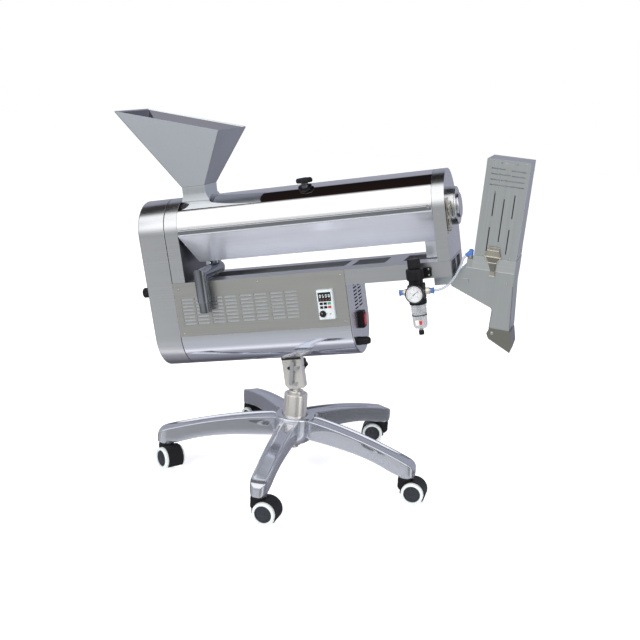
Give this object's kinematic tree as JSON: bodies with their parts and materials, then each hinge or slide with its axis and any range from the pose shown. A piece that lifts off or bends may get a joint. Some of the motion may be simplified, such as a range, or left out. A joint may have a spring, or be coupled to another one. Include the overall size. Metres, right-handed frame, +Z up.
{
  "type": "capsule polisher with air sorter",
  "caption": "Pharmacy machine that brushes filled capsules clean in a horizontal chamber fed by a hopper, then sorts light ones with air, on a swivel castor stand.",
  "frame": {"origin": "on the floor, under the middle of the whole machine's bounding box", "axes": "+X along the machine from the drive head to the sorter, +Y away from the side with the controls, +Z up"},
  "size_m": [1.0361, 0.6781, 0.9035],
  "materials": {
    "chrome": "polished",
    "mirror_steel": "polished",
    "satin_steel": "satin",
    "panel_steel": "matt",
    "dark_steel": "satin",
    "black_plastic": "satin",
    "wheel_rubber": "matt",
    "belt_rubber": "matt",
    "bristle": "fibres",
    "pale_plastic": "satin",
    "green_plastic": "gloss",
    "red_plastic": "gloss",
    "blue_plastic": "gloss",
    "clear_plastic": "translucent",
    "gauge_face": "gloss",
    "olive_steel": "satin",
    "motor_paint": "satin"
  },
  "bodies": {
    "base": {"star_base": "chrome", "column_sleeve": "satin_steel"},
    "column": {"column_post": "satin_steel", "pivot_bolt": "satin_steel"},
    "machine": {"tilt_bracket": "satin_steel", "lower_shell": "mirror_steel", "louvre_panel": "panel_steel", "end_plate": "mirror_steel", "frame_rails": "satin_steel", "head_housing": "mirror_steel", "bulkhead": "mirror_steel", "right_head": "mirror_steel", "dust_trough": "satin_steel", "screen": "satin_steel", "suction_pipe": "mirror_steel", "motor": "motor_paint", "drive_belt": "belt_rubber", "control_box": "pale_plastic", "switch_housing": "black_plastic", "cable_gland": "black_plastic", "regulator_body": "black_plastic", "pressure_gauge": "gauge_face", "air_hose": "clear_plastic", "hose_elbow": "blue_plastic", "sorter_base": "satin_steel"},
    "clamp_lever": {"tilt_clamp_lever": "satin_steel"},
    "clamp_knob": {"tilt_knob": "black_plastic"},
    "head_handle": {"head_knob": "black_plastic"},
    "bearing_cap": {"end_cap": "mirror_steel"},
    "toggle_latch": {"cover_latch": "satin_steel"},
    "cover": {"top_cover": "mirror_steel", "cover_knob": "black_plastic", "hopper": "satin_steel"},
    "brush": {"brush_shaft": "satin_steel", "spiral_brush": "bristle", "brush_pulley": "dark_steel"},
    "motor_rotor": {"motor_pulley": "dark_steel"},
    "speed_control": {"speed_dial": "black_plastic"},
    "power_switch": {"power_rocker": "red_plastic"},
    "pressure_control": {"regulator_knob": "black_plastic"},
    "bowl": {"filter_bowl": "clear_plastic"},
    "sorter_tower": {"sorter_column": "satin_steel"},
    "tower_latch": {"sorter_latch": "mirror_steel"},
    "outlet": {"outlet_flap": "olive_steel"},
    "menu_key_body": {"menu_key": "black_plastic"},
    "shift_key_body": {"shift_key": "black_plastic"},
    "up_key_body": {"up_key": "black_plastic"},
    "down_key_body": {"down_key": "black_plastic"},
    "run_key_body": {"run_key": "green_plastic"},
    "stop_key_body": {"stop_key": "red_plastic"},
    "caster_1": {"caster_hood_1": "black_plastic"},
    "wheels_1": {"caster_wheels_1": "wheel_rubber"},
    "caster_2": {"caster_hood_2": "black_plastic"},
    "wheels_2": {"caster_wheels_2": "wheel_rubber"},
    "caster_3": {"caster_hood_3": "black_plastic"},
    "wheels_3": {"caster_wheels_3": "wheel_rubber"},
    "caster_4": {"caster_hood_4": "black_plastic"},
    "wheels_4": {"caster_wheels_4": "wheel_rubber"},
    "caster_5": {"caster_hood_5": "black_plastic"},
    "wheels_5": {"caster_wheels_5": "wheel_rubber"}
  },
  "joints": [
    {"name": "caster_swivel_1", "type": "hinge", "parent": "base", "child": "caster_1", "pos_m": [-0.00681, -0.3072, 0.05], "axis": [0, 0, 1], "continuous": true},
    {"name": "caster_roll_1", "type": "hinge", "parent": "caster_1", "child": "wheels_1", "pos_m": [0.01568, -0.30798, 0.0285], "axis": [0.0349, 0.9994, 0], "continuous": true},
    {"name": "caster_swivel_2", "type": "hinge", "parent": "base", "child": "caster_2", "pos_m": [0.29501, -0.05421, 0.05], "axis": [0, 0, 1], "continuous": true},
    {"name": "caster_roll_2", "type": "hinge", "parent": "caster_2", "child": "wheels_2", "pos_m": [0.3175, -0.05382, 0.0285], "axis": [-0.0175, 0.9998, 0], "continuous": true},
    {"name": "caster_swivel_3", "type": "hinge", "parent": "base", "child": "caster_3", "pos_m": [-0.34067, -0.09833, 0.05], "axis": [0, 0, 1], "continuous": true},
    {"name": "caster_roll_3", "type": "hinge", "parent": "caster_3", "child": "wheels_3", "pos_m": [-0.32224, -0.11124, 0.0285], "axis": [0.5736, 0.8192, 0], "continuous": true},
    {"name": "caster_swivel_4", "type": "hinge", "parent": "base", "child": "caster_4", "pos_m": [0.14767, 0.311, 0.05], "axis": [0, 0, 1], "continuous": true},
    {"name": "caster_roll_4", "type": "hinge", "parent": "caster_4", "child": "wheels_4", "pos_m": [0.12545, 0.30748, 0.0285], "axis": [0.1564, -0.9877, 0], "continuous": true},
    {"name": "caster_swivel_5", "type": "hinge", "parent": "base", "child": "caster_5", "pos_m": [-0.2452, 0.28374, 0.05], "axis": [0, 0, 1], "continuous": true},
    {"name": "caster_roll_5", "type": "hinge", "parent": "caster_5", "child": "wheels_5", "pos_m": [-0.227, 0.27051, 0.0285], "axis": [0.5878, 0.809, 0], "continuous": true},
    {"name": "column_swivel", "type": "hinge", "parent": "base", "child": "column", "pos_m": [-0.03, 0.027, 0.15], "axis": [0, 0, 1], "continuous": true},
    {"name": "body_tilt", "type": "hinge", "parent": "column", "child": "machine", "pos_m": [-0.0295, 0.027, 0.237], "axis": [0, 1, 0], "range_deg": [-3.4, 26.6]},
    {"name": "clamp_lever_turn", "type": "hinge", "parent": "column", "child": "clamp_lever", "pos_m": [-0.0295, 0.027, 0.2807], "axis": [0, 1, 0], "range_deg": [0, 90]},
    {"name": "clamp_knob_turn", "type": "hinge", "parent": "column", "child": "clamp_knob", "pos_m": [-0.0295, 0.027, 0.2807], "axis": [0, 1, 0], "continuous": true},
    {"name": "head_knob_turn", "type": "hinge", "parent": "machine", "child": "head_handle", "pos_m": [-0.43038, -0.035, 0.44174], "axis": [0.9796, 0, 0.201], "continuous": true},
    {"name": "end_cap_pull", "type": "slide", "parent": "machine", "child": "bearing_cap", "axis": [0.9796, 0, 0.201], "range_m": [0, 0.03]},
    {"name": "cover_latch_lift", "type": "hinge", "parent": "machine", "child": "toggle_latch", "pos_m": [0.3439, -0.04, 0.69707], "axis": [0, 1, 0], "range_deg": [0, 60]},
    {"name": "cover_open", "type": "hinge", "parent": "machine", "child": "cover", "pos_m": [-0.06989, 0.1195, 0.67495], "axis": [-0.9796, 0, -0.201], "range_deg": [0, 100]},
    {"name": "brush_spin", "type": "hinge", "parent": "machine", "child": "brush", "pos_m": [-0.06758, 0.027, 0.66368], "axis": [0.9796, 0, 0.201], "continuous": true},
    {"name": "motor_spin", "type": "hinge", "parent": "machine", "child": "motor_rotor", "pos_m": [-0.36771, 0.027, 0.36017], "axis": [0.9796, 0, 0.201], "continuous": true},
    {"name": "menu_key_press", "type": "slide", "parent": "machine", "child": "menu_key_body", "axis": [0, 1, 0], "range_m": [0, 0.0006], "stiffness_N_per_m": 200},
    {"name": "shift_key_press", "type": "slide", "parent": "machine", "child": "shift_key_body", "axis": [0, 1, 0], "range_m": [0, 0.0006], "stiffness_N_per_m": 200},
    {"name": "up_key_press", "type": "slide", "parent": "machine", "child": "up_key_body", "axis": [0, 1, 0], "range_m": [0, 0.0006], "stiffness_N_per_m": 200},
    {"name": "down_key_press", "type": "slide", "parent": "machine", "child": "down_key_body", "axis": [0, 1, 0], "range_m": [0, 0.0006], "stiffness_N_per_m": 200},
    {"name": "run_key_press", "type": "slide", "parent": "machine", "child": "run_key_body", "axis": [0, 1, 0], "range_m": [0, 0.0006], "stiffness_N_per_m": 200},
    {"name": "stop_key_press", "type": "slide", "parent": "machine", "child": "stop_key_body", "axis": [0, 1, 0], "range_m": [0, 0.0006], "stiffness_N_per_m": 200},
    {"name": "speed_dial_turn", "type": "hinge", "parent": "machine", "child": "speed_control", "pos_m": [0.05641, -0.072, 0.45739], "axis": [0, 1, 0], "range_deg": [0, 270]},
    {"name": "power_rocker_tip", "type": "hinge", "parent": "machine", "child": "power_switch", "pos_m": [0.13889, 0.027, 0.43349], "axis": [0, 1, 0], "range_deg": [-6, 6]},
    {"name": "regulator_knob_turn", "type": "hinge", "parent": "machine", "child": "pressure_control", "pos_m": [0.27332, -0.091, 0.61419], "axis": [-0.201, 0, 0.9796], "continuous": true},
    {"name": "filter_bowl_turn", "type": "hinge", "parent": "machine", "child": "bowl", "pos_m": [0.29744, -0.091, 0.49664], "axis": [-0.201, 0, 0.9796], "range_deg": [0, 45]},
    {"name": "sorter_lift", "type": "slide", "parent": "machine", "child": "sorter_tower", "axis": [0.0366, -0.0008, 0.9993], "range_m": [0, 0.15]},
    {"name": "tower_latch_swing", "type": "hinge", "parent": "machine", "child": "tower_latch", "pos_m": [0.45148, -0.03914, 0.59485], "axis": [0.9991, -0.0227, -0.0366], "range_deg": [0, 150]},
    {"name": "outlet_flap_swing", "type": "hinge", "parent": "machine", "child": "outlet", "pos_m": [0.46608, -0.03327, 0.45722], "axis": [0.0227, 0.9997, 0], "range_deg": [-4, 20]}
  ],
  "couplings": [
    {"joint": "motor_spin", "follows": "brush_spin", "ratio": 1.8235}
  ]
}
